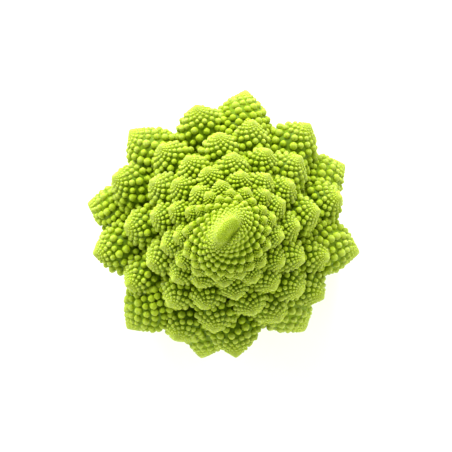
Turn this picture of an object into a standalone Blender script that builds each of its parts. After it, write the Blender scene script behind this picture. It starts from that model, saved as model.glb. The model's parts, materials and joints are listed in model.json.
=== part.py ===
"""A romanesco head: a pale cut stalk with its branches, and the green curd that they carry.

The curd is a broad cone of florets, and each floret is a smaller cone of buds. The florets follow
one spiral from the rim to the crown: each stands a fixed turn round from the one before it and a
little nearer the smooth tip, and they shrink with their distance from it.
+Z runs up the head's axis, and the origin is the middle of the stalk's cut face.
"""

import math

import bmesh
import bpy
from mathutils import Matrix, Vector

# The flank of the head, in metres and degrees: a round crown, a straight cone and a bend under the rim
HEAD_TOP = 0.108
CROWN_RADIUS = 0.014
FLANK_SLOPE = 40.0
FLANK_END = 0.088
RIM_RADIUS = 0.0175

# The crown is drawn out along one line and narrowed across it
CREST_STRETCH = 0.42
CREST_REACH = 0.014
CREST_ANGLE = 50.0

# The spiral of florets
DIVERGENCE = 137.72
START_ANGLE = -107.7
FLORET_COUNT = 136
SPIRAL_REACH = 0.1123
SPIRAL_EYE = 0.006
SPIRAL_GROWTH = 0.0225
FLORET_SHARE = 0.385
RIM_SHARE = 0.305
FLORET_LENGTH = 0.84
LEAN_OUT = 9.0
RIM_DROOP = -12.0

# How the rim's florets stray from the spiral, the oldest first: degrees round, metres out
RIM_STRAY = (
    (7.0, -0.001), (-1.0, 0.000), (1.0, 0.003), (5.0, -0.005), (-1.0, 0.002),
    (4.0, 0.003), (-8.0, -0.001), (-2.0, 0.002), (0.0, -0.004), (0.0, 0.001),
    (0.0, 0.003), (-3.0, -0.004), (-1.0, 0.001), (2.0, 0.001), (-5.0, -0.001),
    (-3.0, 0.004), (4.0, -0.005), (3.0, -0.001), (-2.0, 0.002), (-5.0, -0.002),
)

# How the other florets stray from it
STRAY_ALONG = 0.014
STRAY_ROUND = 2.2
STRAY_SIZE = 0.05
STRAY_LEAN = 4.0

# The buds on a floret, by the floret's width: least width, buds round, rows, height of the relief
BUD_GRADES = (
    (0.0240, 7, 3, 0.17),
    (0.0115, 5, 3, 0.17),
    (0.0055, 4, 2, 0.15),
    (0.0000, 3, 2, 0.10),
)
ROW_START = 0.17
ROOT_DEPTH = 1.08

# The core under the florets
CORE_DEPTH = 0.58
CORE_SIDES = 20
CORE_ROWS = 8
CORE_SPREAD = 1.5

# The stalk and its branches
STEM_RADIUS = 0.021
STEM_NECK = 0.0235
STEM_SIDES = 24
CUT_ROUNDING = 0.0012
BRANCH_COUNT = 13
BRANCH_START = (0.006, 0.0125)
BRANCH_END = (0.050, 0.034)
BRANCH_RADII = (0.0085, 0.0098)
BRANCH_SIDES = 10

# The hollow in the curd that the branches fill
HOLLOW_RADIUS = 0.043
HOLLOW_ROOF = 0.034
HOLLOW_DOME = 0.045
HOLLOW_DEPTH = -0.02
FIT_GAP = 0.0003

CURD_GREEN = (0.45, 0.66, 0.06, 1.0)
CURD_ROUGHNESS = 0.55
STALK_GREEN = (0.66, 0.76, 0.40, 1.0)
STALK_ROUGHNESS = 0.5
SHARP_ANGLE = 50.0


def clear_scene():
    for old in list(bpy.data.objects):
        bpy.data.objects.remove(old, do_unlink=True)


def collection(name, hidden=False):
    made = bpy.data.collections.new(name)
    made.hide_render = hidden
    bpy.context.scene.collection.children.link(made)
    return made


def material(name, colour, roughness):
    made = bpy.data.materials.new(name)
    made.use_nodes = True
    shader = made.node_tree.nodes["Principled BSDF"]
    shader.inputs["Base Color"].default_value = colour
    shader.inputs["Roughness"].default_value = roughness
    shader.inputs["Metallic"].default_value = 0.0
    return made


def mesh_object(name, shape, home):
    """An object in the collection home that holds the bmesh shape."""
    mesh = bpy.data.meshes.new(name)
    shape.to_mesh(mesh)
    shape.free()
    made = bpy.data.objects.new(name, mesh)
    home.objects.link(made)
    return made


def stray(n, rate, phase):
    """A number from -1 to 1 that looks random from one floret to the next, and is the same each time."""
    return math.sin(rate * n + phase)


def flank(s):
    """Radius, depth under the tip and slope of the head's flank, s metres down it."""
    straight_slope = math.radians(FLANK_SLOPE)
    crown_slope = min(s / CROWN_RADIUS, straight_slope)
    straight = max(min(s, FLANK_END) - CROWN_RADIUS * straight_slope, 0.0)
    slope = crown_slope + max(s - FLANK_END, 0.0) / RIM_RADIUS
    radius = CROWN_RADIUS * math.sin(crown_slope) + straight * math.cos(straight_slope)
    radius += RIM_RADIUS * (math.sin(slope) - math.sin(crown_slope))
    depth = CROWN_RADIUS * (1.0 - math.cos(crown_slope)) + straight * math.sin(straight_slope)
    depth += RIM_RADIUS * (math.cos(crown_slope) - math.cos(slope))
    return radius, depth, slope


def crest(point, s):
    """The point moved as the crown is drawn out along its crest. The effect fades down the flank."""
    stretch = 1.0 + CREST_STRETCH * math.exp(-s / CREST_REACH)
    turn = Matrix.Rotation(math.radians(CREST_ANGLE), 3, "Z")
    along = turn.transposed() @ point
    return turn @ Vector((along.x * stretch, along.y / stretch, along.z))


def floret_width(s):
    """The width of a floret s metres down the flank. It falls to nothing at the smooth eye of the spiral."""
    down = min(s / SPIRAL_REACH, 1.0)
    share = FLORET_SHARE + (RIM_SHARE - FLORET_SHARE) * down * down
    return share * math.sqrt(max(s * (s - SPIRAL_EYE), 0.0))


def floret_place(n):
    """Tip, axis and width of floret n, counted from the rim to the crown."""
    s = SPIRAL_EYE + (SPIRAL_REACH - SPIRAL_EYE) * math.exp(-SPIRAL_GROWTH * n)
    turn = START_ANGLE + DIVERGENCE * n
    out = 0.0
    if n < len(RIM_STRAY):
        turn += RIM_STRAY[n][0]
        out = RIM_STRAY[n][1]
    else:
        s *= 1.0 + STRAY_ALONG * stray(n, 1.7, 0.5)
        turn += STRAY_ROUND * stray(n, 2.9, 0.0)
    radius, depth, slope = flank(s)
    lean = math.radians(LEAN_OUT + STRAY_LEAN * stray(n, 5.1, 2.0))
    rise = max(math.pi / 2 - slope - lean, math.radians(RIM_DROOP))
    outward = Vector((math.cos(math.radians(turn)), math.sin(math.radians(turn)), 0.0))
    axis = outward * math.cos(rise) + Vector((0.0, 0.0, math.sin(rise)))
    tip = crest(outward * (radius + out), s) + Vector((0.0, 0.0, HEAD_TOP - depth))
    width = floret_width(s) * (1.0 + STRAY_SIZE * stray(n, 4.3, 1.0))
    return tip, axis, width


def ringed_ball(corners, rings):
    """A ball with poles on Z, and its rings of corners from top to bottom, each in order of angle."""
    shape = bmesh.new()
    bmesh.ops.create_uvsphere(shape, u_segments=corners, v_segments=rings - 1, radius=1.0)
    levels = {}
    for corner in shape.verts:
        levels.setdefault(round(corner.co.z, 4), []).append(corner)
    ordered = [levels[level] for level in sorted(levels, reverse=True)]
    for ring in ordered:
        ring.sort(key=lambda corner: math.atan2(corner.co.y, corner.co.x))
    return shape, ordered


def floret(n, home):
    """A cone of buds: rings of corners that stand out and lie in by turns, in rows that are staggered."""
    tip, axis, width = floret_place(n)
    round_count, rows, relief = next(grade[1:] for grade in BUD_GRADES if width >= grade[0])
    corners = 2 * round_count
    shape, rings = ringed_ball(corners, rows + 2)
    raised = set()
    for row, ring in enumerate(rings):
        down = 0.0 if row == 0 else ROW_START + (ROOT_DEPTH - ROW_START) * (row - 1) / rows
        for place, corner in enumerate(ring):
            radius = 0.5 * width * math.sin(0.5 * math.pi * min(down, 1.0)) if len(ring) > 1 else 0.0
            if len(ring) > 1 and (row + place) % 2:
                radius += relief * 2.0 * math.pi * radius / round_count
                raised.add(corner)
            angle = 2.0 * math.pi * place / corners
            corner.co = Vector(
                (radius * math.cos(angle), radius * math.sin(angle), -down * FLORET_LENGTH * width)
            )
    for face in [face for face in shape.faces if len(face.verts) == 4]:
        low = [corner for corner in face.verts if corner not in raised]
        bmesh.utils.face_split(face, low[0], low[1])
    made = mesh_object(f"floret_{n:03d}", shape, home)
    upright = axis.to_track_quat("Z", "Y").to_matrix().to_4x4()
    made.matrix_world = Matrix.Translation(tip) @ upright
    return made


def core(home):
    """The solid heart that the florets grow from, under their tips by a share of their length."""
    shape, rings = ringed_ball(CORE_SIDES, CORE_ROWS + 2)
    for row, ring in enumerate(rings[:-1]):
        s = SPIRAL_REACH * (row / CORE_ROWS) ** CORE_SPREAD
        radius, depth, slope = flank(s)
        sunk = CORE_DEPTH * FLORET_LENGTH * floret_width(s)
        radius -= sunk * math.sin(slope)
        height = HEAD_TOP - depth - sunk * math.cos(slope)
        for place, corner in enumerate(ring):
            angle = 2.0 * math.pi * place / CORE_SIDES
            level = Vector((radius * math.cos(angle), radius * math.sin(angle), 0.0))
            corner.co = crest(level, s) + Vector((0.0, 0.0, height))
    rings[-1][0].co = Vector((0.0, 0.0, rings[-2][0].co.z))
    return mesh_object("core", shape, home)


def turned(name, profile, sides, home):
    """A closed solid turned about Z from (radius, height) points, given top to bottom."""
    shape = bmesh.new()
    corners = [shape.verts.new((radius, 0.0, height)) for radius, height in profile]
    for above, below in zip(corners, corners[1:]):
        shape.edges.new((above, below))
    made = mesh_object(name, shape, home)
    screw = made.modifiers.new("turn", "SCREW")
    screw.axis = "Z"
    screw.steps = sides
    screw.render_steps = sides
    screw.use_merge_vertices = True
    screw.merge_threshold = 0.00001
    return made


def hollow_profile(gap):
    """The round-topped hollow under the curd, or with a gap the space left in it for the stalk."""
    radius = HOLLOW_RADIUS - gap
    return [
        (0.0, HOLLOW_DOME - gap),
        (0.6 * radius, HOLLOW_DOME - gap - 0.3 * (HOLLOW_DOME - HOLLOW_ROOF)),
        (radius, HOLLOW_ROOF - gap),
        (radius, HOLLOW_DEPTH),
        (0.0, HOLLOW_DEPTH),
    ]


def frozen(name, source, spent, home):
    """The evaluated source as a plain mesh object. The source and all in the collection spent go."""
    graph = bpy.context.evaluated_depsgraph_get()
    mesh = bpy.data.meshes.new_from_object(source.evaluated_get(graph))
    mesh.name = name
    made = bpy.data.objects.new(name, mesh)
    made.matrix_world = source.matrix_world.copy()
    home.objects.link(made)
    bpy.data.objects.remove(source, do_unlink=True)
    for old in list(spent.objects):
        bpy.data.objects.remove(old, do_unlink=True)
    bpy.data.collections.remove(spent)
    return made


def join(name, first, others, home):
    """One object, the union of first and of all in the collection others."""
    joined = first.modifiers.new("join", "BOOLEAN")
    joined.operand_type = "COLLECTION"
    joined.collection = others
    joined.operation = "UNION"
    # The exact solver is slow on this many bodies.
    joined.solver = "MANIFOLD"
    return frozen(name, first, others, home)


def trim(name, first, profile, operation, home):
    """One object, first without the turned profile, or only what lies inside it."""
    cutters = collection("cutters", hidden=True)
    cutter = turned("cutter", profile, STEM_SIDES, cutters)
    cutter.hide_render = True
    cutter.display_type = "WIRE"
    cut = first.modifiers.new("cut", "BOOLEAN")
    cut.object = cutter
    cut.operation = operation
    # The exact solver is slow on the many faces of the joined florets.
    cut.solver = "MANIFOLD"
    return frozen(name, first, cutters, home)


def branch(number, home):
    """A thick tapered branch from the stem out to the florets of the rim."""
    turn = 2.0 * math.pi * number / BRANCH_COUNT
    outward = Vector((math.cos(turn), math.sin(turn), 0.0))
    start = outward * BRANCH_START[0] + Vector((0.0, 0.0, BRANCH_START[1]))
    end = outward * BRANCH_END[0] + Vector((0.0, 0.0, BRANCH_END[1]))
    shape = bmesh.new()
    bmesh.ops.create_cone(
        shape,
        cap_ends=True,
        segments=BRANCH_SIDES,
        radius1=BRANCH_RADII[0],
        radius2=BRANCH_RADII[1],
        depth=(end - start).length,
    )
    made = mesh_object(f"branch_{number:02d}", shape, home)
    upright = (end - start).to_track_quat("Z", "Y").to_matrix().to_4x4()
    made.matrix_world = Matrix.Translation((start + end) / 2) @ upright
    return made


def stem(home):
    """The main stem, from its cut face to where the branches leave it."""
    profile = [
        (0.0, HOLLOW_DOME),
        (0.9 * STEM_NECK, HOLLOW_DOME - 0.006),
        (STEM_NECK, 0.014),
        (STEM_RADIUS, 0.004),
        (STEM_RADIUS, CUT_ROUNDING),
        (STEM_RADIUS - CUT_ROUNDING, 0.0),
        (0.0, 0.0),
    ]
    return turned("stem", profile, STEM_SIDES, home)


def finish(piece, paint):
    """Gives the piece its one material and smooth shading, with its sharp edges kept."""
    piece.data.materials.clear()
    piece.data.materials.append(paint)
    piece.data.shade_smooth()
    piece.data.set_sharp_from_angle(angle=math.radians(SHARP_ANGLE))


def make_curd(home):
    florets = collection("florets")
    for n in range(FLORET_COUNT):
        floret(n, florets)
    whole = join("whole_curd", core(home), florets, home)
    curd = trim("curd", whole, hollow_profile(0.0), "DIFFERENCE", home)
    finish(curd, material("curd_green", CURD_GREEN, CURD_ROUGHNESS))


def make_stalk(home):
    branches = collection("branches")
    for number in range(BRANCH_COUNT):
        branch(number, branches)
    whole = join("whole_stalk", stem(home), branches, home)
    stalk = trim("stalk", whole, hollow_profile(FIT_GAP), "INTERSECT", home)
    finish(stalk, material("stalk_pale", STALK_GREEN, STALK_ROUGHNESS))


def main():
    clear_scene()
    head = collection("romanesco_head")
    make_curd(head)
    make_stalk(head)


main()
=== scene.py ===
"""Dresses the romanesco head: florets covered with buds on a fleshy core, and the stalk under them.

The florets stand where the solids have them, on one spiral from the rim to the crown. The buds on a
floret follow the same kind of spiral, and a node tree grows them on all the florets at once.
"""

import json
import math

import bmesh
import bpy
import numpy as np
from mathutils import Matrix, Quaternion, Vector

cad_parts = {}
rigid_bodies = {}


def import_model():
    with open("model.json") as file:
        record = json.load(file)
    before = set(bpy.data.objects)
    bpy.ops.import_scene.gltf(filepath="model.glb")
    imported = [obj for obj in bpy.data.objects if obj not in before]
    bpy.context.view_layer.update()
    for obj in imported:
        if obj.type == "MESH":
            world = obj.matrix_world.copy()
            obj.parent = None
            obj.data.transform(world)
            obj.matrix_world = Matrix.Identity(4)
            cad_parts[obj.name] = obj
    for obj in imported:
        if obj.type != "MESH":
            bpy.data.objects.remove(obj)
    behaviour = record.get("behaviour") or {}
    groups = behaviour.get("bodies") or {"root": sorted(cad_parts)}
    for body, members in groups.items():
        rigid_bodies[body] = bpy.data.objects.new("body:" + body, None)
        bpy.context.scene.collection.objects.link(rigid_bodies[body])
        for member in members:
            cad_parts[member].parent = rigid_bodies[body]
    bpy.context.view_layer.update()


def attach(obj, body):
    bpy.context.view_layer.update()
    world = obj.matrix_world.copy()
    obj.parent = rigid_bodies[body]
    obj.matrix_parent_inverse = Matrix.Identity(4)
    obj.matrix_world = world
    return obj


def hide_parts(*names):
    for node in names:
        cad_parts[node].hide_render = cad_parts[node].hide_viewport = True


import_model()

# The flank of the head, in metres and degrees: a round crown, a straight cone and a bend under the rim
HEAD_TOP = 0.108
CROWN_RADIUS = 0.014
FLANK_SLOPE = 40.0
FLANK_END = 0.088
RIM_RADIUS = 0.0175

# The crown is drawn out along one line and narrowed across it
CREST_STRETCH = 0.62
CREST_REACH = 0.012
CREST_ANGLE = 50.0

# A low ridge runs along the crown, with a fold beside it
RIDGE_HEIGHT = 0.0010
RIDGE_PLACE = -0.0012
RIDGE_WIDTH = 0.0036
RIDGE_LENGTH = 0.0100
FOLD_DEPTH = 0.0031
FOLD_PLACE = 0.0040
FOLD_WIDTH = 0.0021
FOLD_LENGTH = 0.0085

# The spiral of florets, from the rim to its smooth eye on the crown, and how they crowd on the way
GOLDEN_ANGLE = 137.508
DIVERGENCE = 137.72
START_ANGLE = -107.7
SPIRAL_REACH = 0.1123
SPIRAL_EYE = 0.0056
SPIRAL_GROWTH = 0.0224
CROWDED_FROM = 64
CROWDING = 0.5
LAST_FLORET = 410

# The small florets round the crown lie a little to one side of it
SHIFT = -0.0036
SHIFT_PLACE = 0.023
SHIFT_REACH = 0.011

# A floret's width as a share of its room: full florets, the rim's, small knobs and those at the eye
FLORET_SHARE = 0.40
RIM_SHARE = 0.36
KNOB_SHARE = 0.250
KNOB_ZONE = (0.0255, 0.0365)
EYE_WIDENING = 0.03
EYE_REACH = 0.004

# A floret's length as a share of its width, and how far it leans out from the flank
FLORET_LENGTH = 0.84
LEAN_OUT = 13.0
LEAN_REACH = 0.032
RIM_DROOP = -12.0

# How the rim's florets stray from the spiral, the oldest first: degrees round, metres out
RIM_STRAY = (
    (6.4, 0.000), (-1.5, 0.0005), (1.8, 0.0036), (1.9, -0.0045), (-1.0, 0.002),
    (4.0, 0.0022), (-8.6, -0.001), (-2.0, 0.002), (0.0, -0.003), (0.0, 0.001),
    (0.8, 0.003), (-3.0, -0.005), (-1.0, 0.001), (2.0, -0.0005), (-5.0, -0.001),
    (-3.0, 0.004), (4.0, -0.005), (3.0, -0.001), (-2.0, 0.002), (-5.0, -0.002),
)

# The oldest florets hang lower, and two of them are narrower or wider than the rest
RIM_LOWER = 0.0075
LOWER_FLORETS = 10
RIM_WIDTHS = {2: 0.86, 3: 1.15}

# How the other florets stray from the spiral: by how much, and the rate and start of each wave
STRAY_ALONG = 0.014
STRAY_ROUND = 2.2
STRAY_SIZE = 0.05
STRAY_LEAN = 4.0
STRAY_WAVES = {"along": (1.7, 0.5), "round": (2.9, 0.0), "size": (4.3, 1.0), "lean": (5.1, 2.0)}

# Fine grains on the crown itself
EYE_GRAINS = 170
GRAIN_WIDTH = 0.0011
GRAIN_RISE = 0.00030

# The flesh of a floret, as shares of its width: how round its tip is, how wide and how deep it is
TIP_ROUNDING = 0.03
RIM_ROUNDING = 0.035
RIM_WIDTH = 0.036
KNOB_ROUNDING = 0.66
KNOB_WIDTH = 0.0052
FLESH_SHARE = 0.99
FLANK_PITCH = 1.72
FLANK_FULLNESS = 2.6
ROOT_DEPTH = 1.25
KNOB_DEPTH = 0.35
FLESH_SPREAD = 1.5

# Least width of a floret, segments round, rings
FLESH_GRADES = ((0.012, 30, 14), (0.005, 20, 10), (0.0, 12, 7))

# The core under the florets, and how deep it lies as a share of their room
CORE_DEPTH = 0.30
CROWN_DEPTH = 0.17
EYE_DEPTH = 0.07
EYE_FADE = 0.005
CORE_SIDES = 96
CORE_ROWS = 60
CORE_SPREAD = 1.5

# The spiral of buds on a floret
BUD_COUNT = 340
BUD_GROWTH = 0.0240
BUD_START = 1.14
BUD_SHARE = 0.268
LARGEST_BUD = 0.0041
BUD_LEAN = 0.35
BUD_HEIGHT = 1.12

# How buds stray on their spiral and in size: by how much, and the steps of each wave
BUD_WANDER = 0.03
WANDER_STEPS = (78.233, 3000.0)
BUD_UNEVENNESS = 0.12
UNEVEN_STEPS = (12.9898, 7000.0)

# How deep buds sit, as shares of their size: all, small ones, those that face out, those on knobs
BUD_SINK = 0.27
SMALL_SINK = 0.30
SMALL_BUD = 0.0012
OUTER_SINK = 0.27
KNOB_SINK = 0.45

# Buds are left out if they are very small, face the ground or lie inside the flesh
LEAST_BUD = 0.00060
KNOB_LEAST_BUD = 0.0013
PLAIN_KNOB = 0.0042
UNDERSIDE = -0.35
SEEN_FROM = 0.42
SIGHT_LENGTH = 0.3

# Least and greatest size of a bud, its corners round, its rings and how high the lumps on it are
BUD_GRADES = (
    (0.0, 0.0009, 6, 3, 0.0),
    (0.0009, 0.0020, 8, 5, 0.0),
    (0.0020, 0.0036, 12, 7, 0.0),
    (0.0036, 0.0100, 16, 10, 0.18),
)

# A bud is made one across, and its lumps rise where their cells' middles are near; the creases between them
# get painted shade
BUD_RADIUS = 0.5
LUMP_SCALE = 4.6
LUMP_MIDDLE = 0.35
LUMP_PAINTED_SHADE = 0.5

# Groups of florets, one piece each: its name and the number of its first floret
GROUPS = (("rim", 0), ("outer", 9), ("lower", 20), ("middle", 36), ("upper", 60))
LAST_BUDDED = 150

# The stem of the stalk, from under the cut face to its neck
STEM_LEVELS = (-0.004, 0.015, 0.045)
STEM_RADIUS = 0.021
STEM_NECK = 0.0235
RIB_ROOM = 0.0004

# The branches from the stem into the outer florets
BRANCH_COUNT = 26
BRANCH_START = 0.008
BRANCH_FOOT = 0.014
BRANCH_RISE = 0.0007
BRANCH_WAY = 0.5
BRANCH_BOW = 0.004
BRANCH_LIFT = 0.35
BRANCH_DEPTH = 0.80
BRANCH_RADIUS = 0.0085
BRANCH_SHARE = 0.26

# The stubs of the trimmed leaves, each along a line of radius and height
LEAF_COUNT = 6
LEAF_TURN = 20.0
LEAF_FOOT = 0.006
LEAF_RISE = 0.0022
LEAF_LINE = ((0.015, 0.0), (0.021, 0.002), (0.0265, 0.007))
LEAF_RADII = (0.0075, 0.0058)
LEAF_FLATNESS = 0.5

# How finely branches are made, and how they melt into one another
TUBE_STEPS = 12
TUBE_SIDES = 16
MELT_SIZE = 0.0009
EASE_SHARE = 0.5
EASE_ROUNDS = 9

# Ribs and lumps on the stalk, and the angle from which an edge is sharp
RIB_HEIGHT = 0.0010
RIB_SCALE = (260.0, 260.0, 28.0)
LUMP_HEIGHT = 0.0007
SKIN_LUMP_SCALE = 90.0
SHARP_ANGLE = 50.0

# The flesh has painted light near the florets' tips and on the crown, and painted shade in the crown's fold
TIP_REACH = 0.30
KNOB_REACH = 1.1
FLESH_PAINTED_LIGHT = 0.80
CROWN_PAINTED_LIGHT_TO = 0.014
CROWN_PAINTED_LIGHT_OVER = 0.006
FOLD_PAINTED_SHADE = 0.56

# The flesh is pale where it faces down
PALE_FROM = 0.30
PALE_OVER = 0.35

# How much the way that flesh faces and the nearness of a tip tell for its painted light: brighter facing
# out and near a tip, with painted shade facing the crown
FACING_SHARE = 0.75
NEAR_TIP_SHARE = 0.9
LEAST_RADIUS = 1e-6

# Keeps the parts of a vector that lie level
LEVEL_PARTS = (1.0, 1.0, 0.0)

# How much the nearness of its floret's tip tells for a bud's painted light, brighter near the tip, and for
# how deep it sinks
TIPWARD_TOP = 0.9
TIPWARD_FALL = 1.8
TIPWARD_LEAST = -0.6
TIPWARD_SHARE = 0.8

# Towards the rim the painted light on a floret's outer side is weaker against the painted shade on its
# inner side
EVEN_FROM = 0.045
EVEN_REACH = 0.030
RIM_EVENNESS = 0.40

# Noise runs from 0 to 1 round its middle
NOISE_MIDDLE = 0.5

# The curd's level in its range of greens, and how much each thing moves it: painted light and shade by a
# bud's height and the way it faces, and random patches and tones
GREEN_LEVEL = 0.43
MIDDLE_RISE = 0.6
CONTRAST = 0.86
CONTRAST_FALL = 0.42
FACING_PAINTED_LIGHT = 0.62
PATCH_SCALE = 45.0
PATCH_LIGHT = 0.4
BUD_LIGHT = 0.05
FINE_SCALE = 900.0
FINE_LIGHT = 0.25

# The curd's greens, from the painted shade of its gaps to the painted light on its tips, and the green of
# its underside
GREENS = (
    (0.0, (0.098, 0.172, 0.0002)),
    (0.35, (0.154, 0.234, 0.0028)),
    (0.70, (0.258, 0.352, 0.0120)),
    (1.0, (0.305, 0.388, 0.047)),
)
PALE_GREEN = (0.38, 0.49, 0.14, 1.0)

# The curd's skin: its grain, its roughness and how light sinks into it
GRAIN_SCALE = 1500.0
GRAIN_HEIGHT = 0.00012
GRAIN_STRENGTH = 0.5
CURD_ROUGHNESS = 0.35
CURD_ROUGHNESS_RANGE = 0.3
CURD_FINISH = {
    "Specular IOR Level": 0.08,
    "Subsurface Weight": 0.6,
    "Subsurface Radius": (1.0, 1.0, 0.15),
    "Subsurface Scale": 0.0016,
}

# The stalk's skin, and what moves its green: strands, patches and height
STRAND_SCALE = (420.0, 420.0, 40.0)
STRAND_LIGHT = 0.6
SKIN_PATCH_SCALE = 60.0
SKIN_PATCH_LIGHT = 0.6
HEIGHT_LIGHT = 5.0
SKIN_SHADE = 0.2
SKIN_GREENS = (
    (0.15, (0.22, 0.34, 0.07)),
    (0.5, (0.36, 0.49, 0.16)),
    (0.9, (0.50, 0.60, 0.28)),
)

# The cut face: cream in the middle, and a ring of strands under the skin
CUT_HEIGHT = 0.0004
CUT_RING_LIGHT = 0.5
CELL_SCALE = 700.0
CELL_LIGHT = 0.25
CUT_PATCH_LIGHT = 0.4
CUT_CREAMS = (
    (0.1, (0.80, 0.80, 0.58)),
    (0.45, (0.74, 0.77, 0.48)),
    (0.56, (0.56, 0.62, 0.28)),
    (0.75, (0.62, 0.66, 0.34)),
)

# The stalk's relief, its roughness and how light sinks into it
CELL_RELIEF = 0.3
STRAND_HEIGHT = 0.0006
STRAND_STRENGTH = 0.6
STALK_ROUGHNESS = 0.3
STALK_ROUGHNESS_RANGE = 0.3
STALK_FINISH = {
    "Subsurface Weight": 0.3,
    "Subsurface Radius": (1.0, 1.0, 0.4),
    "Subsurface Scale": 0.002,
}

# The camera looks straight down and takes in this width at the height of the rim
FRAME_WIDTH = 0.2462
CAMERA_AWAY = 1.2
CAMERA_ACROSS = -0.0005
CAMERA_UP = 0.0017
RIM_HEIGHT = 0.045

# The lamps, in watts and metres, what they point at and the light of the room
KEY_POWER = 30.2
KEY_SIZE = 0.80
KEY_PLACE = (-0.24, 1.02, 0.72)
SIDE_LAMPS = 6
SIDE_POWER = 8.0
SIDE_SIZE = 0.6
SIDE_AWAY = 1.25
SIDE_HEIGHT = 0.36
LAMP_TARGET = (0.0, 0.0, 0.05)
ROOM_COLOUR = (1.0, 1.0, 1.0, 1.0)
ROOM_LIGHT = 0.49

# The floor, a hair under the head's cut face
FLOOR_REACH = 3.0
FLOOR_LEVEL = -0.0002
FLOOR_FINISH = {"Base Color": (0.98, 0.98, 0.98, 1.0), "Roughness": 0.9}


def stray(n, what):
    """A number from -1 to 1 that looks random from one floret to the next, and is the same each time."""
    rate, start = STRAY_WAVES[what]
    return math.sin(rate * n + start)


def outward(degrees, radius, height):
    """A point at that radius and height, turned round the head's axis."""
    turn = math.radians(degrees)
    return Vector((radius * math.cos(turn), radius * math.sin(turn), height))


def flank(s):
    """Radius, depth under the tip and slope of the head's flank, s metres down it."""
    straight_slope = math.radians(FLANK_SLOPE)
    crown_slope = min(s / CROWN_RADIUS, straight_slope)
    straight = max(min(s, FLANK_END) - CROWN_RADIUS * straight_slope, 0.0)
    slope = crown_slope + max(s - FLANK_END, 0.0) / RIM_RADIUS
    radius = CROWN_RADIUS * math.sin(crown_slope) + straight * math.cos(straight_slope)
    radius += RIM_RADIUS * (math.sin(slope) - math.sin(crown_slope))
    depth = CROWN_RADIUS * (1.0 - math.cos(crown_slope)) + straight * math.sin(straight_slope)
    depth += RIM_RADIUS * (math.cos(crown_slope) - math.cos(slope))
    return radius, depth, slope


def crest(point, s):
    """The point moved as the crown is drawn out along its crest and the small florets lie to one side."""
    stretch = 1.0 + CREST_STRETCH * math.exp(-s / CREST_REACH)
    turn = Matrix.Rotation(math.radians(CREST_ANGLE), 3, "Z")
    along = turn.transposed() @ point
    moved = turn @ Vector((along.x * stretch, along.y / stretch, along.z))
    moved.y += SHIFT * math.exp(-((s - SHIFT_PLACE) / SHIFT_REACH) ** 2)
    return moved


def crown_marks(x, y):
    """How much the crown's ridge and the fold beside it are at work at a place, each from 0 to 1."""
    turn = math.radians(CREST_ANGLE)
    along = x * math.cos(turn) + y * math.sin(turn)
    across = x * math.sin(turn) - y * math.cos(turn)
    ridge = ((across - RIDGE_PLACE) / RIDGE_WIDTH) ** 2 + (along / RIDGE_LENGTH) ** 2
    fold = ((across - FOLD_PLACE) / FOLD_WIDTH) ** 2 + (along / FOLD_LENGTH) ** 2
    return np.exp(-ridge), np.exp(-fold)


def crown_relief(point):
    """How high the crown's flesh stands at the point."""
    ridge, fold = crown_marks(point.x, point.y)
    return RIDGE_HEIGHT * float(ridge) - FOLD_DEPTH * float(fold)


def room(s):
    """A length s metres down the flank that the florets' spacing follows, nothing at the smooth eye."""
    return math.sqrt(max(s * (s - SPIRAL_EYE), 0.0))


def past_knobs(s):
    """From 0 among the small knobs round the crown to 1 among the full florets."""
    past = min(max((s - KNOB_ZONE[0]) / (KNOB_ZONE[1] - KNOB_ZONE[0]), 0.0), 1.0)
    return past * past * (3.0 - 2.0 * past)


def floret_width(s):
    """The width of a floret s metres down the flank. Near the crown they stand apart as narrow knobs."""
    down = min(s / SPIRAL_REACH, 1.0)
    share = FLORET_SHARE + (RIM_SHARE - FLORET_SHARE) * down * down
    share = KNOB_SHARE + (share - KNOB_SHARE) * past_knobs(s)
    share += EYE_WIDENING * math.exp(-max(s - SPIRAL_EYE, 0.0) / EYE_REACH)
    return share * room(s)


def floret_place(n):
    """Tip, axis and width of floret n, from the rim to the crown. Past the last one come the grains."""
    crowded = max(n - CROWDED_FROM, 0)
    steps = n - CROWDING * crowded
    s = SPIRAL_EYE + (SPIRAL_REACH - SPIRAL_EYE) * math.exp(-SPIRAL_GROWTH * steps)
    if n >= LAST_FLORET:
        s = SPIRAL_EYE * math.sqrt(1.0 - (n - LAST_FLORET + 0.5) / EYE_GRAINS)
    turn = START_ANGLE + DIVERGENCE * (n - crowded) + GOLDEN_ANGLE * crowded
    further = 0.0
    if n < len(RIM_STRAY):
        turn += RIM_STRAY[n][0]
        further = RIM_STRAY[n][1]
    else:
        s *= 1.0 + STRAY_ALONG * stray(n, "along")
        turn += STRAY_ROUND * stray(n, "round")
    radius, depth, slope = flank(s)
    lean = math.radians(LEAN_OUT * min(s / LEAN_REACH, 1.0) + STRAY_LEAN * stray(n, "lean"))
    rise = max(math.pi / 2 - slope - lean, math.radians(RIM_DROOP))
    way_out = outward(turn, 1.0, 0.0)
    axis = way_out * math.cos(rise) + Vector((0.0, 0.0, math.sin(rise)))
    tip = crest(way_out * (radius + further), s)
    tip.z = HEAD_TOP - depth + crown_relief(tip) - RIM_LOWER * max(1.0 - n / LOWER_FLORETS, 0.0)
    width = floret_width(s) * (1.0 + STRAY_SIZE * stray(n, "size")) * RIM_WIDTHS.get(n, 1.0)
    if n >= LAST_FLORET:
        tip.z += GRAIN_RISE
        width = GRAIN_WIDTH
    return tip, axis, width


def upright(n, axis):
    """The turn that stands floret n up along its axis, each with its own turn about that axis."""
    return axis.to_track_quat("Z", "Y") @ Quaternion((0.0, 0.0, 1.0), DIVERGENCE * n)


# Meshes


def collection(name):
    """A new collection in the scene."""
    made = bpy.data.collections.new(name)
    bpy.context.scene.collection.children.link(made)
    return made


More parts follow.
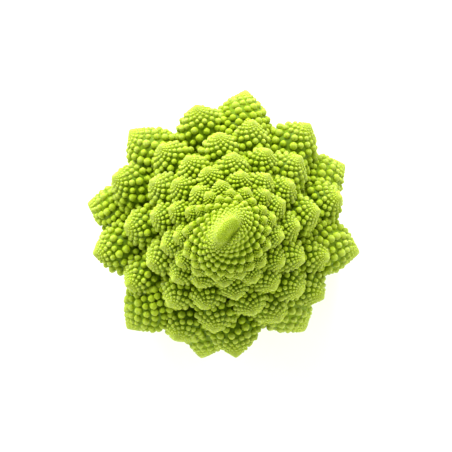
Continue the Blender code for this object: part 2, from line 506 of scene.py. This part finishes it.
def mesh_object(name, shape, home=None):
    """An object that holds the bmesh shape, in the collection home or else in the scene's own."""
    mesh = bpy.data.meshes.new(name)
    shape.to_mesh(mesh)
    shape.free()
    made = bpy.data.objects.new(name, mesh)
    (home or bpy.context.scene.collection).objects.link(made)
    return made


def plain(name, source):
    """The evaluated source as a plain mesh object at the origin. The source is removed."""
    graph = bpy.context.evaluated_depsgraph_get()
    mesh = bpy.data.meshes.new_from_object(source.evaluated_get(graph))
    mesh.transform(source.matrix_world)
    mesh.name = name
    made = bpy.data.objects.new(name, mesh)
    bpy.context.scene.collection.objects.link(made)
    bpy.data.objects.remove(source, do_unlink=True)
    return made


def join(name, first, others):
    """One closed mesh, the union of first and of all in the collection others, which is removed."""
    joined = first.modifiers.new("join", "BOOLEAN")
    joined.operand_type = "COLLECTION"
    joined.collection = others
    joined.operation = "UNION"
    joined.solver = "MANIFOLD"
    made = plain(name, first)
    for old in list(others.objects):
        bpy.data.objects.remove(old, do_unlink=True)
    bpy.data.collections.remove(others)
    return made


def ringed_ball(corners, rings):
    """A ball with poles on Z, and its rings of corners from top to bottom, each in order of angle."""
    shape = bmesh.new()
    bmesh.ops.create_uvsphere(shape, u_segments=corners, v_segments=rings - 1, radius=1.0)
    levels = {}
    for corner in shape.verts:
        levels.setdefault(round(corner.co.z, 4), []).append(corner)
    ordered = [levels[level] for level in sorted(levels, reverse=True)]
    for ring in ordered:
        ring.sort(key=lambda corner: math.atan2(corner.co.y, corner.co.x))
    return shape, ordered


def tip_rounding(width):
    """How round a floret's tip is. Those round the crown are round knobs, and the rim's are blunt."""
    rim = RIM_ROUNDING * (width / RIM_WIDTH) ** 2
    return TIP_ROUNDING + rim + KNOB_ROUNDING * math.exp(-width / KNOB_WIDTH)


def flesh_radius(down, rounding):
    """Half the width of a floret's flesh, as a share of its width, at a share of its length."""
    pitched = FLANK_PITCH * math.sqrt(down * down + rounding * down)
    return 0.5 * FLESH_SHARE * pitched / (1.0 + pitched ** FLANK_FULLNESS) ** (1.0 / FLANK_FULLNESS)


def floret_flesh(n, home):
    """The flesh of floret n, a ball drawn out to a cone that roots deep in the head."""
    tip, axis, width = floret_place(n)
    corners, rows = next(grade[1:] for grade in FLESH_GRADES if width >= grade[0])
    deepest = ROOT_DEPTH + KNOB_DEPTH * math.exp(-width / KNOB_WIDTH)
    shape, rings = ringed_ball(corners, rows + 2)
    for row, ring in enumerate(rings):
        down = deepest * (row / (rows + 1)) ** FLESH_SPREAD
        radius = flesh_radius(down, tip_rounding(width)) * width if len(ring) > 1 else 0.0
        level = -down * FLORET_LENGTH * width
        for place, corner in enumerate(ring):
            angle = 2.0 * math.pi * place / corners
            corner.co = Vector((radius * math.cos(angle), radius * math.sin(angle), level))
    made = mesh_object(f"flesh_{n:03d}", shape, home)
    made.matrix_world = Matrix.Translation(tip) @ upright(n, axis).to_matrix().to_4x4()


def core(name):
    """The solid heart that the florets grow from."""
    shape, rings = ringed_ball(CORE_SIDES, CORE_ROWS + 2)
    for row, ring in enumerate(rings[:-1]):
        s = SPIRAL_REACH * (row / CORE_ROWS) ** CORE_SPREAD
        radius, depth, slope = flank(s)
        past_eye = max(s - SPIRAL_EYE, 0.0)
        share = CROWN_DEPTH + (EYE_DEPTH - CROWN_DEPTH) * math.exp(-past_eye / EYE_FADE)
        sunk = (share + (CORE_DEPTH - share) * past_knobs(s)) * room(s)
        radius -= sunk * math.sin(slope)
        height = HEAD_TOP - depth - sunk * math.cos(slope)
        for place, corner in enumerate(ring):
            angle = 2.0 * math.pi * place / CORE_SIDES
            level = crest(Vector((radius * math.cos(angle), radius * math.sin(angle), 0.0)), s)
            corner.co = level + Vector((0.0, 0.0, height + crown_relief(level)))
    rings[-1][0].co = Vector((0.0, 0.0, rings[-2][0].co.z))
    return mesh_object(name, shape)


def read_points(mesh, name):
    """The places or the normals of the mesh's points, one row each."""
    values = np.empty(len(mesh.vertices) * 3)
    mesh.vertices.foreach_get(name, values)
    return values.reshape(-1, 3)


def write_points(mesh, name, values):
    """Keeps a number on each point of the mesh, which the material reads by this name."""
    mesh.attributes.new(name, "FLOAT", "POINT").data.foreach_set("value", values)


def near_tips(points):
    """How near each point is to a floret's tip, from 0 well away from all of them to 1 on one."""
    nearest = np.full(len(points), 1.0)
    for n in range(LAST_FLORET):
        tip, axis, width = floret_place(n)
        reach = TIP_REACH + KNOB_REACH * math.exp(-width / KNOB_WIDTH)
        from_tip = np.linalg.norm(points - np.array(tip), axis=1)
        nearest = np.minimum(nearest, from_tip / (width * reach))
    return np.clip(1.0 - nearest, 0.0, 1.0)


def head_flesh():
    """The core and the flesh of all the florets as one body, with the numbers that its colour follows: a
    pale underside, painted light near the tips, on the crown and where it faces out, and painted shade in
    the crown's fold and where it faces the crown.
    """
    florets = collection("florets")
    for n in range(LAST_FLORET + EYE_GRAINS):
        floret_flesh(n, florets)
    flesh = join("curd_flesh", core("core"), florets)
    flesh.data.shade_smooth()
    points = read_points(flesh.data, "co")
    normals = read_points(flesh.data, "normal")
    from_axis = np.maximum(np.hypot(points[:, 0], points[:, 1]), LEAST_RADIUS)
    facing = (points[:, 0] * normals[:, 0] + points[:, 1] * normals[:, 1]) / from_axis
    nearness = near_tips(points)
    # Painted light near the tips and on the crown, painted shade in the crown's fold
    from_top = np.linalg.norm(points - np.array((0.0, 0.0, HEAD_TOP)), axis=1)
    crown = np.clip((CROWN_PAINTED_LIGHT_TO - from_top) / CROWN_PAINTED_LIGHT_OVER, 0.0, 1.0)
    rise = np.maximum(FLESH_PAINTED_LIGHT * np.sqrt(nearness), FLESH_PAINTED_LIGHT * crown)
    rise -= FOLD_PAINTED_SHADE * crown_marks(points[:, 0], points[:, 1])[1]
    write_points(flesh.data, "pale", np.clip((-PALE_FROM - normals[:, 2]) / PALE_OVER, 0.0, 1.0))
    # Painted light where the flesh faces out and near tips, painted shade where it faces the crown
    write_points(flesh.data, "outward", FACING_SHARE * facing + NEAR_TIP_SHARE * nearness)
    write_points(flesh.data, "rise", rise)
    return flesh


# Node trees


class Field:
    """A value in a node tree. Plain arithmetic on it adds Math nodes."""

    def __init__(self, socket):
        self.socket = socket

    def math(self, operation, *others):
        """The value put through a Math node, with the others as its further inputs."""
        tree = self.socket.id_data
        made = tree.nodes.new("ShaderNodeMath")
        made.operation = operation
        for place, value in enumerate((self,) + others):
            feed(tree, made.inputs[place], value)
        return Field(made.outputs[0])

    def __add__(self, other):
        return self.math("ADD", other)

    def __sub__(self, other):
        return self.math("SUBTRACT", other)

    def __mul__(self, other):
        return self.math("MULTIPLY", other)

    def __truediv__(self, other):
        return self.math("DIVIDE", other)


def feed(tree, socket, value):
    """Links a field to the input, or sets the input to a plain value."""
    if isinstance(value, Field):
        tree.links.new(value.socket, socket)
    else:
        socket.default_value = value


def node(tree, kind, settings=None, **inputs):
    """A new node with its settings made and its inputs fed. Names of inputs use _ for a space."""
    made = tree.nodes.new(kind)
    for name, value in (settings or {}).items():
        setattr(made, name, value)
    for name, value in inputs.items():
        label = name.replace("_", " ")
        socket = next(s for s in made.inputs if s.name == label and s.enabled)
        feed(tree, socket, value)
    return made


def out(made, name=None):
    """The node's output of that name, or its first one."""
    return Field(next(s for s in made.outputs if s.enabled and (name is None or s.name == name)))


def new_tree(name, inputs):
    """A geometry node tree with named inputs, given as name, type and default, and its output node."""
    tree = bpy.data.node_groups.new(name, "GeometryNodeTree")
    tree.interface.new_socket(name="Geometry", in_out="INPUT", socket_type="NodeSocketGeometry")
    tree.interface.new_socket(name="Geometry", in_out="OUTPUT", socket_type="NodeSocketGeometry")
    for label, kind, value in inputs:
        socket = tree.interface.new_socket(name=label, in_out="INPUT", socket_type="NodeSocket" + kind)
        if value is not None:
            socket.default_value = value
    given = {socket.name: Field(socket) for socket in tree.nodes.new("NodeGroupInput").outputs}
    return tree, given, tree.nodes.new("NodeGroupOutput")


def named(tree, name, kind="FLOAT"):
    """What is kept on the points under this name."""
    return out(node(tree, "GeometryNodeInputNamedAttribute", {"data_type": kind}, Name=name), "Attribute")


def store(tree, geometry, name, value, kind="FLOAT"):
    """The geometry with the value kept on its points under this name."""
    settings = {"data_type": kind, "domain": "POINT"}
    return out(
        node(tree, "GeometryNodeStoreNamedAttribute", settings, Geometry=geometry, Name=name, Value=value)
    )


def position(tree):
    """The place of each point."""
    return out(node(tree, "GeometryNodeInputPosition"))


def moved(tree, geometry, offset):
    """The geometry with its points moved by the offset."""
    return out(node(tree, "GeometryNodeSetPosition", Geometry=geometry, Offset=offset))


def vector(tree, x, y, z):
    """A vector from its three parts."""
    return out(node(tree, "ShaderNodeCombineXYZ", X=x, Y=y, Z=z))


def parts(tree, source):
    """The three parts of a vector."""
    made = node(tree, "ShaderNodeSeparateXYZ", Vector=source)
    return [out(made, axis) for axis in "XYZ"]


def scaled(tree, source, scale):
    """The vector times a number."""
    return out(node(tree, "ShaderNodeVectorMath", {"operation": "SCALE"}, Vector=source, Scale=scale))


def unit(tree, source):
    """The vector drawn to a length of one."""
    return out(node(tree, "ShaderNodeVectorMath", {"operation": "NORMALIZE"}, Vector=source))


def paired(tree, operation, first, second):
    """What an operation makes of two vectors."""
    made = node(tree, "ShaderNodeVectorMath", {"operation": operation})
    feed(tree, made.inputs[0], first)
    feed(tree, made.inputs[1], second)
    return out(made)


def turned(tree, source, turn):
    """The vector turned."""
    return out(node(tree, "FunctionNodeRotateVector", Vector=source, Rotation=turn))


def noise(tree, where, scale, detail):
    """Soft noise from 0 to 1."""
    return out(node(tree, "ShaderNodeTexNoise", Vector=where, Scale=scale, Detail=detail))


def cells(tree, where, scale):
    """How far a place is from the middle of its cell."""
    return out(node(tree, "ShaderNodeTexVoronoi", Vector=where, Scale=scale), "Distance")


# Buds


def bud_wave(step, width, steps):
    """A number from -1 to 1 that looks random from one bud to the next, and from one floret to the next."""
    return (step * steps[0] + width * steps[1]).math("SINE")


def down_floret(given, step, width):
    """How far down its floret a bud lies: in even steps while buds are full size, then ever closer."""
    start, growth = given["Start"], given["Growth"]
    full = (given["Largest bud"] / (given["Bud share"] * width)).math("MINIMUM", start)
    pace = growth * full * full * 2.0
    even = (start * start - full * full) / pace
    down = (start * start - pace * step).math("MAXIMUM", full * full).math("SQRT")
    return down * ((step - even).math("MAXIMUM", 0.0) * growth * -1.0).math("EXPONENT")


def bud_spiral(tree, given):
    """The buds of every floret as points on its flesh, with the way each stands and its size."""
    line = out(node(tree, "GeometryNodeMeshLine", Count=given["Buds"], Offset=(0.0, 0.0, 0.0)))
    line = store(tree, line, "step", out(node(tree, "GeometryNodeInputIndex")))
    spirals = out(node(tree, "GeometryNodeInstanceOnPoints", Points=given["Geometry"], Instance=line))
    buds = out(node(tree, "GeometryNodeRealizeInstances", Geometry=spirals))
    step, width, rounding = named(tree, "step"), named(tree, "width"), named(tree, "rounding")
    stands = named(tree, "stands", "QUATERNION")
    pitch, length = given["Pitch"], given["Length"]
    down = down_floret(given, step, width)
    turn = step * given["Turn"] + bud_wave(step, width, WANDER_STEPS) * BUD_WANDER
    rounded = (down * down + rounding * down).math("SQRT")
    fullness = (rounded * pitch).math("POWER", FLANK_FULLNESS) + 1.0
    radius = rounded * pitch * 0.5 * given["Flesh share"]
    radius = radius / fullness.math("POWER", 1.0 / FLANK_FULLNESS)
    widening = pitch * 0.5 * (down * 2.0 + rounding) / (rounded * 2.0)
    widening = widening / fullness.math("POWER", 1.0 + 1.0 / FLANK_FULLNESS)
    across, along = turn.math("COSINE"), turn.math("SINE")
    place = vector(tree, across * radius * width, along * radius * width, down * length * width * -1.0)
    normal = vector(tree, across * length, along * length, widening + given["Lean"])
    from_tip = (radius * radius + down * down * length * length).math("SQRT")
    uneven = bud_wave(step, width, UNEVEN_STEPS)
    size = (from_tip * width * given["Bud share"]).math("MINIMUM", given["Largest bud"])
    size = size * (uneven * BUD_UNEVENNESS + 1.0)
    # Nearness to the tip: painted light on the buds near it, which also sink deeper there
    tipward = (from_tip * -TIPWARD_FALL + TIPWARD_TOP).math("MAXIMUM", TIPWARD_LEAST)
    buds = store(tree, buds, "tipward", tipward)
    buds = store(tree, buds, "bud_size", size)
    buds = store(tree, buds, "tone", uneven)
    buds = store(tree, buds, "bud_stands", unit(tree, turned(tree, normal, stands)), "FLOAT_VECTOR")
    return moved(tree, buds, turned(tree, place, stands))


def sunk_buds(tree, given, buds):
    """The buds sunk in or raised as each one sits on its floret, with how far out each one faces, which
    also sets their painted light and shade.
    """
    normal = named(tree, "bud_stands", "FLOAT_VECTOR")
    way_out = unit(tree, paired(tree, "MULTIPLY", position(tree), LEVEL_PARTS))
    facing = paired(tree, "DOT_PRODUCT", way_out, normal)
    # How far out a bud faces and how near its tip: it sinks the bud and sets its painted light, with
    # painted shade on the side towards the crown
    buds = store(tree, buds, "outward", facing + named(tree, "tipward") * TIPWARD_SHARE)
    size = named(tree, "bud_size")
    sunk = given["Sink"] + (size / -SMALL_BUD).math("EXPONENT") * SMALL_SINK
    sunk = sunk + named(tree, "outward").math("MAXIMUM", 0.0) * OUTER_SINK
    sunk = sunk + (named(tree, "width") / -KNOB_WIDTH).math("EXPONENT") * KNOB_SINK
    return moved(tree, buds, scaled(tree, normal, size * (sunk * -1.0 + BUD_RADIUS)))


def left_out(tree, given):
    """Which buds are left out: what flesh hides, what is too small and what faces the ground."""
    size = named(tree, "bud_size")
    stands = named(tree, "bud_stands", "FLOAT_VECTOR")
    ray = node(
        tree,
        "GeometryNodeRaycast",
        Target_Geometry=out(node(tree, "GeometryNodeObjectInfo", Object=given["Flesh"]), "Geometry"),
        Source_Position=paired(tree, "ADD", position(tree), scaled(tree, stands, size * SEEN_FROM)),
        Ray_Direction=stands,
        Ray_Length=SIGHT_LENGTH,
    )
    facing = paired(tree, "DOT_PRODUCT", out(ray, "Hit Normal"), stands)
    inside = facing.math("GREATER_THAN", 0.0) * out(ray, "Is Hit")
    width = named(tree, "width")
    plainness = ((width * width) * (-1.0 / PLAIN_KNOB ** 2)).math("EXPONENT")
    least = given["Least bud"] + plainness * KNOB_LEAST_BUD
    under = parts(tree, stands)[2].math("LESS_THAN", UNDERSIDE)
    return inside + size.math("LESS_THAN", least) + under


def bud_shape(tree, corners, rings, lump):
    """A bud one across: a ball, with lumps on it if it is large. It keeps how high each point lies, for
    painted light on its top and painted shade at its foot.
    """
    ball = node(tree, "GeometryNodeMeshUVSphere", Segments=corners, Rings=rings, Radius=BUD_RADIUS)
    ball = out(ball, "Mesh")
    place = position(tree)
    # The height on the ball gives painted light at its top and painted shade at its foot
    rise = (parts(tree, place)[2] + BUD_RADIUS).math("MINIMUM", 1.0)
    if not lump:
        return store(tree, ball, "rise", rise)
    gap = cells(tree, place, LUMP_SCALE)
    # Painted shade in the creases between the lumps
    ball = store(tree, ball, "rise", rise - (gap - LUMP_MIDDLE) * LUMP_PAINTED_SHADE)
    lumpy = scaled(tree, place, (gap - LUMP_MIDDLE) * -lump + 1.0)
    return out(node(tree, "GeometryNodeSetPosition", Geometry=ball, Position=lumpy))


def buds_tree(material):
    """Grows the bud spiral on every floret point, drops the buds that are left out and shapes the rest."""
    tree, given, result = new_tree(
        "buds on florets",
        (
            ("Flesh", "Object", None),
            ("Buds", "Int", BUD_COUNT),
            ("Turn", "Float", math.radians(GOLDEN_ANGLE)),
            ("Growth", "Float", BUD_GROWTH),
            ("Start", "Float", BUD_START),
            ("Length", "Float", FLORET_LENGTH),
            ("Pitch", "Float", FLANK_PITCH),
            ("Flesh share", "Float", FLESH_SHARE),
            ("Bud share", "Float", BUD_SHARE),
            ("Largest bud", "Float", LARGEST_BUD),
            ("Sink", "Float", BUD_SINK),
            ("Lean", "Float", BUD_LEAN),
            ("Height", "Float", BUD_HEIGHT),
            ("Least bud", "Float", LEAST_BUD),
        ),
    )
    buds = sunk_buds(tree, given, bud_spiral(tree, given))
    unseen = left_out(tree, given)
    buds = out(
        node(tree, "GeometryNodeDeleteGeometry", {"domain": "POINT"}, Geometry=buds, Selection=unseen)
    )
    size = named(tree, "bud_size")
    stands = named(tree, "bud_stands", "FLOAT_VECTOR")
    rotation = out(node(tree, "FunctionNodeAlignRotationToVector", {"axis": "Z"}, Vector=stands))
    scale = vector(tree, size, size, size * given["Height"])
    joined = tree.nodes.new("GeometryNodeJoinGeometry")
    for least, most, corners, rings, lump in BUD_GRADES:
        shaped = node(
            tree,
            "GeometryNodeInstanceOnPoints",
            Points=buds,
            Selection=size.math("GREATER_THAN", least) * size.math("LESS_THAN", most),
            Instance=bud_shape(tree, corners, rings, lump),
            Rotation=rotation,
            Scale=scale,
        )
        feed(tree, joined.inputs[0], out(shaped))
    whole = out(node(tree, "GeometryNodeRealizeInstances", Geometry=out(joined)))
    whole = out(node(tree, "GeometryNodeSetShadeSmooth", Geometry=whole))
    whole = out(node(tree, "GeometryNodeSetMaterial", Geometry=whole, Material=material))
    feed(tree, result.inputs[0], whole)
    return tree


def grow_buds(name, first, last, flesh, tree):
    """The buds of florets first to last as one plain mesh."""
    places = [(n,) + floret_place(n) for n in range(first, last)]
    shape = bmesh.new()
    for n, tip, axis, width in places:
        shape.verts.new(tip)
    source = mesh_object("floret_points", shape)
    turns = [value for n, tip, axis, width in places for value in upright(n, axis)]
    source.data.attributes.new("stands", "QUATERNION", "POINT").data.foreach_set("value", turns)
    write_points(source.data, "width", [place[3] for place in places])
    write_points(source.data, "rounding", [tip_rounding(place[3]) for place in places])
    grower = source.modifiers.new("buds", "NODES")
    grower.node_group = tree
    sockets = {item.name: item.identifier for item in tree.interface.items_tree if item.in_out == "INPUT"}
    grower[sockets["Flesh"]] = flesh
    return plain(name, source)


# Materials


def paint(name, finish):
    """A new material with its shader's own values set, its tree and that shader."""
    made = bpy.data.materials.new(name)
    made.use_nodes = True
    shader = made.node_tree.nodes["Principled BSDF"]
    for label, value in finish.items():
        shader.inputs[label].default_value = value
    return made, made.node_tree, shader


def on_points(tree, name):
    """A number that the mesh keeps on its points under this name."""
    return out(node(tree, "ShaderNodeAttribute", {"attribute_name": name}), "Fac")


def ramp(tree, level, stops):
    """Colours by level, from stops of position and colour."""
    made = node(tree, "ShaderNodeValToRGB", Fac=level)
    elements = made.color_ramp.elements
    for element, (place, colour) in zip(elements, (stops[0], stops[-1])):
        element.position = place
        element.color = colour + (1.0,)
    for place, colour in stops[1:-1]:
        elements.new(place).color = colour + (1.0,)
    return out(made, "Color")


def mixed(tree, share, first, second):
    """The first colour with a share of the second."""
    return out(node(tree, "ShaderNodeMix", {"data_type": "RGBA"}, Factor=share, A=first, B=second))


def raised(tree, height, distance, strength):
    """The surface's direction as fine relief turns it."""
    return out(node(tree, "ShaderNodeBump", Height=height, Distance=distance, Strength=strength))


def curd_green():
    """Painted light in bright yellow-green on the buds' tops, the tips and the outer sides, painted shade
    in olive in the gaps and on the inner sides, with random patches, a fine grain and a pale underside.
    """
    made, tree, shader = paint("curd_green", CURD_FINISH)
    where = out(node(tree, "ShaderNodeTexCoord"), "Object")
    patches = noise(tree, where, PATCH_SCALE, detail=3.0)
    fine = noise(tree, where, FINE_SCALE, detail=2.0)
    across, along = parts(tree, where)[:2]
    from_axis = (across * across + along * along).math("SQRT")
    past_flank = ((from_axis - EVEN_FROM) / EVEN_REACH).math("MAXIMUM", 0.0).math("MINIMUM", 1.0)
    # Painted light on the outer sides and near tips, painted shade on the sides towards the crown, weaker
    # towards the rim
    facing = on_points(tree, "outward") * (past_flank * -RIM_EVENNESS + 1.0)
    contrast = facing * -CONTRAST_FALL + CONTRAST
    # Painted shade low in the gaps and painted light on the tops, with less contrast on the outer sides
    level = (on_points(tree, "rise") - MIDDLE_RISE) * contrast + facing * FACING_PAINTED_LIGHT + GREEN_LEVEL
    level = level + (patches - NOISE_MIDDLE) * PATCH_LIGHT
    level = level + on_points(tree, "tone") * BUD_LIGHT + (fine - NOISE_MIDDLE) * FINE_LIGHT
    colour = mixed(tree, on_points(tree, "pale"), ramp(tree, level, GREENS), PALE_GREEN)
    relief = raised(tree, cells(tree, where, GRAIN_SCALE), GRAIN_HEIGHT, GRAIN_STRENGTH)
    feed(tree, shader.inputs["Base Color"], colour)
    feed(tree, shader.inputs["Normal"], relief)
    feed(tree, shader.inputs["Roughness"], fine * CURD_ROUGHNESS_RANGE + CURD_ROUGHNESS)
    return made


def stalk_pale():
    """Pale green skin with strands that run up it, and a moist cream cut face with a ring of strands."""
    made, tree, shader = paint("stalk_pale", STALK_FINISH)
    where = out(node(tree, "ShaderNodeTexCoord"), "Object")
    long_way = out(node(tree, "ShaderNodeMapping", Vector=where, Scale=STRAND_SCALE))
    strands = noise(tree, long_way, scale=1.0, detail=3.0)
    patches = noise(tree, where, SKIN_PATCH_SCALE, detail=3.0)
    grain = cells(tree, where, CELL_SCALE)
    across, along, height = parts(tree, where)
    from_axis = (across * across + along * along).math("SQRT") / STEM_RADIUS
    skin = strands * STRAND_LIGHT + patches * SKIN_PATCH_LIGHT + height * HEIGHT_LIGHT - SKIN_SHADE
    cut = from_axis * CUT_RING_LIGHT + grain * CELL_LIGHT + (patches - NOISE_MIDDLE) * CUT_PATCH_LIGHT
    on_cut = height.math("LESS_THAN", CUT_HEIGHT)
    colour = mixed(tree, on_cut, ramp(tree, skin, SKIN_GREENS), ramp(tree, cut, CUT_CREAMS))
    relief = raised(tree, strands + grain * CELL_RELIEF, STRAND_HEIGHT, STRAND_STRENGTH)
    feed(tree, shader.inputs["Base Color"], colour)
    feed(tree, shader.inputs["Normal"], relief)
    feed(tree, shader.inputs["Roughness"], patches * STALK_ROUGHNESS_RANGE + STALK_ROUGHNESS)
    return made


# The stalk


def tube(name, line, radii, home=None, flatness=1.0):
    """A solid branch from start to end by way of a bend, with its radius changing evenly."""
    start, bend, end = line
    shape = bmesh.new()
    rings = []
    for step in range(TUBE_STEPS + 1):
        t = step / TUBE_STEPS
        middle = start * (1.0 - t) ** 2 + bend * (2.0 * t * (1.0 - t)) + end * t * t
        along = (bend - start) * (1.0 - t) + (end - bend) * t
        aim = along.to_track_quat("Z", "Y")
        radius = radii[0] + (radii[1] - radii[0]) * t
        ring = []
        for corner in range(TUBE_SIDES):
            angle = 2.0 * math.pi * corner / TUBE_SIDES
            level = Vector((radius * math.cos(angle), flatness * radius * math.sin(angle), 0.0))
            ring.append(shape.verts.new(middle + aim @ level))
        rings.append(ring)
    for lower, upper in zip(rings, rings[1:]):
        for corner in range(TUBE_SIDES):
            beside = (corner + 1) % TUBE_SIDES
            shape.faces.new((lower[corner], lower[beside], upper[beside], upper[corner]))
    shape.faces.new(list(reversed(rings[0])))
    shape.faces.new(rings[-1])
    return mesh_object(name, shape, home)


def branch_line(n):
    """The start, bend and end of the branch into floret n, and the floret's width."""
    tip, axis, width = floret_place(n)
    end = tip - axis * (BRANCH_DEPTH * width)
    turn = math.degrees(math.atan2(end.y, end.x))
    start = outward(turn, BRANCH_START, BRANCH_FOOT + BRANCH_RISE * n)
    bend_radius = BRANCH_WAY * math.hypot(end.x, end.y) + BRANCH_BOW
    bend_height = BRANCH_LIFT * end.z + (1.0 - BRANCH_LIFT) * start.z
    return (start, outward(turn, bend_radius, bend_height), end), width


def stalk_shape():
    """The stem, the branches that run into the outer florets and the stubs of the trimmed leaves."""
    offshoots = collection("offshoots")
    stem_line = [Vector((0.0, 0.0, level)) for level in STEM_LEVELS]
    stem = tube("stem", stem_line, (STEM_RADIUS - RIB_ROOM, STEM_NECK))
    for n in range(BRANCH_COUNT):
        line, width = branch_line(n)
        tube(f"branch_{n:02d}", line, (BRANCH_RADIUS, BRANCH_SHARE * width), offshoots)
    for n in range(LEAF_COUNT):
        turn = GOLDEN_ANGLE * n + LEAF_TURN
        low = LEAF_FOOT + LEAF_RISE * n
        line = [outward(turn, radius, low + rise) for radius, rise in LEAF_LINE]
        tube(f"leaf_{n}", line, LEAF_RADII, offshoots, LEAF_FLATNESS)
    whole = join("stalk_whole", stem, offshoots)
    melt = whole.modifiers.new("melt", "REMESH")
    melt.mode = "VOXEL"
    melt.voxel_size = MELT_SIZE
    ease = whole.modifiers.new("ease", "SMOOTH")
    ease.factor = EASE_SHARE
    ease.iterations = EASE_ROUNDS
    return plain("stalk_grown", whole)


def stalk_ribs(material):
    """Low ribs along the stalk and slight lumps, as the stem's strands show under its skin."""
    tree, given, result = new_tree(
        "ribs on stalk", (("Rib height", "Float", RIB_HEIGHT), ("Lump height", "Float", LUMP_HEIGHT))
    )
    place = position(tree)
    long_way = paired(tree, "MULTIPLY", place, RIB_SCALE)
    ribs = noise(tree, long_way, scale=1.0, detail=2.0) - NOISE_MIDDLE
    lumps = noise(tree, place, SKIN_LUMP_SCALE, detail=1.0) - NOISE_MIDDLE
    lift = ribs * given["Rib height"] + lumps * given["Lump height"]
    normal = out(node(tree, "GeometryNodeInputNormal"))
    grown = moved(tree, given["Geometry"], scaled(tree, normal, lift))
    grown = out(node(tree, "GeometryNodeRealizeInstances", Geometry=grown))
    grown = out(node(tree, "GeometryNodeSetMaterial", Geometry=grown, Material=material))
    feed(tree, result.inputs[0], grown)
    return tree


# The pieces


def settle(piece, part):
    """Puts the piece on the head's one body in place of the solid part, which is hidden."""
    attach(piece, "root")
    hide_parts(part)


def make_curd():
    """The flesh of the curd, and a piece of buds for each group of florets."""
    green = curd_green()
    flesh = head_flesh()
    flesh.data.materials.clear()
    flesh.data.materials.append(green)
    tree = buds_tree(green)
    ends = [first for name, first in GROUPS[1:]] + [LAST_BUDDED]
    pieces = [flesh]
    for (name, first), end in zip(GROUPS, ends):
        pieces.append(grow_buds("buds_" + name, first, end, flesh, tree))
    for piece in pieces:
        settle(piece, "curd")


def make_stalk():
    """The ribbed stalk, cut flat where it stands."""
    pale = stalk_pale()
    rough = stalk_shape()
    ribs = rough.modifiers.new("ribs", "NODES")
    ribs.node_group = stalk_ribs(pale)
    grown = plain("stalk_fine", rough)
    shape = bmesh.new()
    shape.from_mesh(grown.data)
    cut = bmesh.ops.bisect_plane(
        shape,
        geom=shape.verts[:] + shape.edges[:] + shape.faces[:],
        plane_co=(0.0, 0.0, 0.0),
        plane_no=(0.0, 0.0, 1.0),
        clear_inner=True,
    )
    edges = [part for part in cut["geom_cut"] if isinstance(part, bmesh.types.BMEdge)]
    face = bmesh.ops.contextual_create(shape, geom=edges)["faces"]
    bmesh.ops.triangulate(shape, faces=face)
    bmesh.ops.recalc_face_normals(shape, faces=shape.faces[:])
    bpy.data.objects.remove(grown, do_unlink=True)
    stalk = mesh_object("stalk_flesh", shape)
    stalk.data.materials.append(pale)
    stalk.data.shade_smooth()
    stalk.data.set_sharp_from_angle(angle=math.radians(SHARP_ANGLE))
    settle(stalk, "stalk")


# The view from above


def sight():
    """A camera straight above the head."""
    camera = bpy.data.objects.new("camera", bpy.data.cameras.new("camera"))
    camera.data.lens = CAMERA_AWAY * camera.data.sensor_width / FRAME_WIDTH
    camera.location = (CAMERA_ACROSS, CAMERA_UP, RIM_HEIGHT + CAMERA_AWAY)
    bpy.context.scene.collection.objects.link(camera)
    bpy.context.scene.camera = camera


def lamp(name, power, size, place):
    """A soft round lamp that points at the head."""
    light = bpy.data.lights.new(name, "AREA")
    light.energy = power
    light.shape = "DISK"
    light.size = size
    made = bpy.data.objects.new(name, light)
    made.location = place
    made.rotation_euler = (Vector(LAMP_TARGET) - Vector(place)).to_track_quat("-Z", "Y").to_euler()
    bpy.context.scene.collection.objects.link(made)


def studio():
    """One large key lamp, a ring of side lamps, a pale room and a pale floor."""
    lamp("key", KEY_POWER, KEY_SIZE, KEY_PLACE)
    for n in range(SIDE_LAMPS):
        turn = 2.0 * math.pi * (n + 0.5) / SIDE_LAMPS
        place = (SIDE_AWAY * math.cos(turn), SIDE_AWAY * math.sin(turn), SIDE_HEIGHT)
        lamp(f"side_{n}", SIDE_POWER, SIDE_SIZE, place)
    world = bpy.data.worlds.new("studio")
    world.use_nodes = True
    light = world.node_tree.nodes["Background"]
    light.inputs["Color"].default_value = ROOM_COLOUR
    light.inputs["Strength"].default_value = ROOM_LIGHT
    bpy.context.scene.world = world
    # Clean white stays white, as on a studio table.
    bpy.context.scene.view_settings.view_transform = "Standard"
    shape = bmesh.new()
    bmesh.ops.create_grid(shape, x_segments=1, y_segments=1, size=FLOOR_REACH)
    bmesh.ops.translate(shape, verts=shape.verts, vec=(0.0, 0.0, FLOOR_LEVEL))
    floor = mesh_object("floor", shape)
    floor.data.materials.append(paint("pale_floor", FLOOR_FINISH)[0])


def main():
    """Everything in the scene."""
    sight()
    studio()
    make_curd()
    make_stalk()


main()
